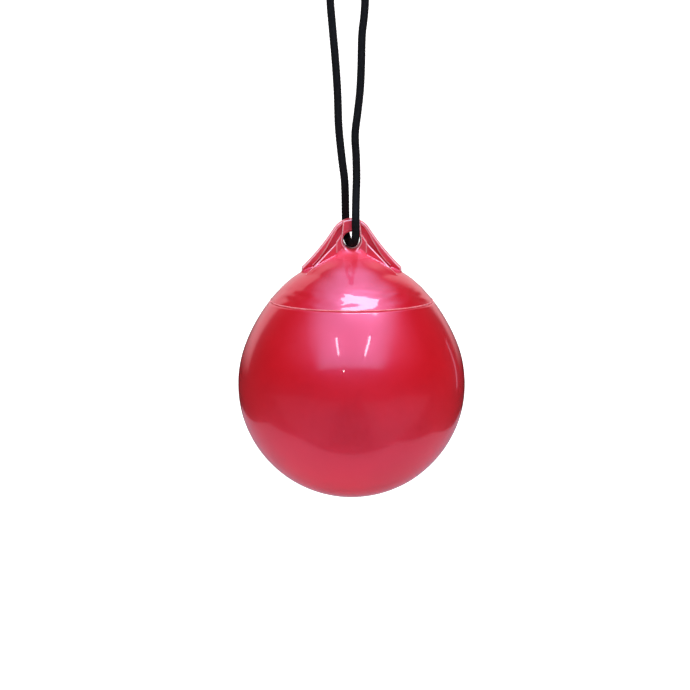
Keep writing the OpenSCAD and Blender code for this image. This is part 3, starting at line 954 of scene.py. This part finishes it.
def softbox(name, size, centre, aim, power, colour=(1, 1, 1), mirrored=True):
    """A rectangular lamp."""
    data = bpy.data.lights.new(name, "AREA")
    data.shape = "RECTANGLE"
    data.size, data.size_y = size
    data.energy = power
    data.color = colour
    lamp = bpy.data.objects.new(name, data)
    lamp.location = Vector(centre) + Vector(IN_BALL) * MM
    lamp.rotation_mode = "QUATERNION"
    lamp.rotation_quaternion = (Vector(aim) - Vector(centre)).to_track_quat("-Z", "Y")
    lamp.visible_glossy = mirrored
    lamp.visible_camera = False
    bpy.context.scene.collection.objects.link(lamp)


def build_lamps():
    """Lamps that hang under the ceiling and show in the skin, and fills that don't show."""
    cool, violet = (0.9, 0.92, 1.0), (1.0, 0.9, 1.0)
    for name, size, (x, y), power, colour in (
        ("ceiling_panel", (0.92, 0.42), (0.25, -0.42), 12, cool),
        ("left_tube", (0.08, 0.8), (-0.55, -1.80), 3.4, violet),
        ("right_tube", (0.08, 0.9), (0.63, -1.80), 4, violet),
    ):
        softbox(name, size, (x, y, CEILING), (x, y, 0), power, colour)
    softbox("far_lamp", (0.06, 0.06), (-0.39, -2.75, 1.12), (0, 0, 0), 0.4)
    for name, power, centre in (
        ("left_fill", 38, (-2.0, -1.2, 2.2)),
        ("right_fill", 38, (2.0, -1.2, 2.2)),
        ("front_fill", 9, (0.4, -2.8, 1.6)),
    ):
        softbox(name, (1.6, 1.6), centre, (0, 0, 0), power, mirrored=False)


def build_cards():
    """The ceiling, the sheet of paper under the ball, the darker floor beside it, and the wall behind."""
    ceiling = [(-0.6, 0.6), (0.9, 0.6), (2.1, -3.4), (-2.2, -3.4)]
    paper = [(-0.6, -0.37), (0.5, -0.37), (0.95, 0.2), (0.95, 2.3), (-1.1, 2.3), (-1.2, 0.1)]
    floor_left = [(-5, -4), (-0.6, -4), (-0.3, -0.42), (-5, -0.42)]
    floor_right = [(0.8, -4), (5, -4), (5, -0.42), (0.28, -0.42)]
    backdrop = [(-2.6, 0.1), (1.6, 0.1), (1.6, 3.6), (-2.6, 3.6)]
    window = [(2.1, -0.4), (2.3, -0.4), (2.3, 0.6), (2.1, 0.6)]
    card("ceiling", ceiling, CEILING + 0.03, (0.75, 1.4, 2.1), soft=0.5)
    card("paper", paper, FLOOR, (0.44, 0.32, 0.40), soft=0.03, shadow=0.5)
    card("floor_left", floor_left, FLOOR, (0.16, 0.085, 0.10), soft=0.06)
    card("floor_right", floor_right, FLOOR, (0.24, 0.13, 0.15), soft=0.06)
    card("backdrop", backdrop, 2.3, (0.92, 0.56, 0.58), soft=0.4, upright=True)
    card("window", window, 1.9, (0.9, 0.65, 0.9), upright=True)


def build_room():
    """White to the camera, and nearly dark to everything else."""
    world = bpy.data.worlds.new("studio")
    world.use_nodes = True
    nodes, links = world.node_tree.nodes, world.node_tree.links
    background = nodes["Background"]
    path, level = nodes.new("ShaderNodeLightPath"), nodes.new("ShaderNodeMapRange")
    level.inputs["To Min"].default_value = ROOM_LEVEL
    links.new(path.outputs["Is Camera Ray"], level.inputs["Value"])
    links.new(level.outputs["Result"], background.inputs["Strength"])
    background.inputs["Color"].default_value = (1, 1, 1, 1)
    bpy.context.scene.world = world


def build_camera():
    back = Vector((0, -math.cos(CAMERA_ELEVATION), math.sin(CAMERA_ELEVATION)))
    data = bpy.data.cameras.new("camera")
    data.sensor_width = 36
    data.lens = LENS
    camera = bpy.data.objects.new("camera", data)
    camera.location = CAMERA_TARGET + back * CAMERA_DISTANCE
    camera.rotation_mode = "QUATERNION"
    camera.rotation_quaternion = (-back).to_track_quat("-Z", "Y")
    bpy.context.scene.collection.objects.link(camera)
    bpy.context.scene.camera = camera
    bpy.context.scene.view_settings.view_transform = "Standard"


build_skin()
build_lug()
build_filler()
build_cord()
sweep()
build_lamps()
build_cards()
build_room()
build_camera()
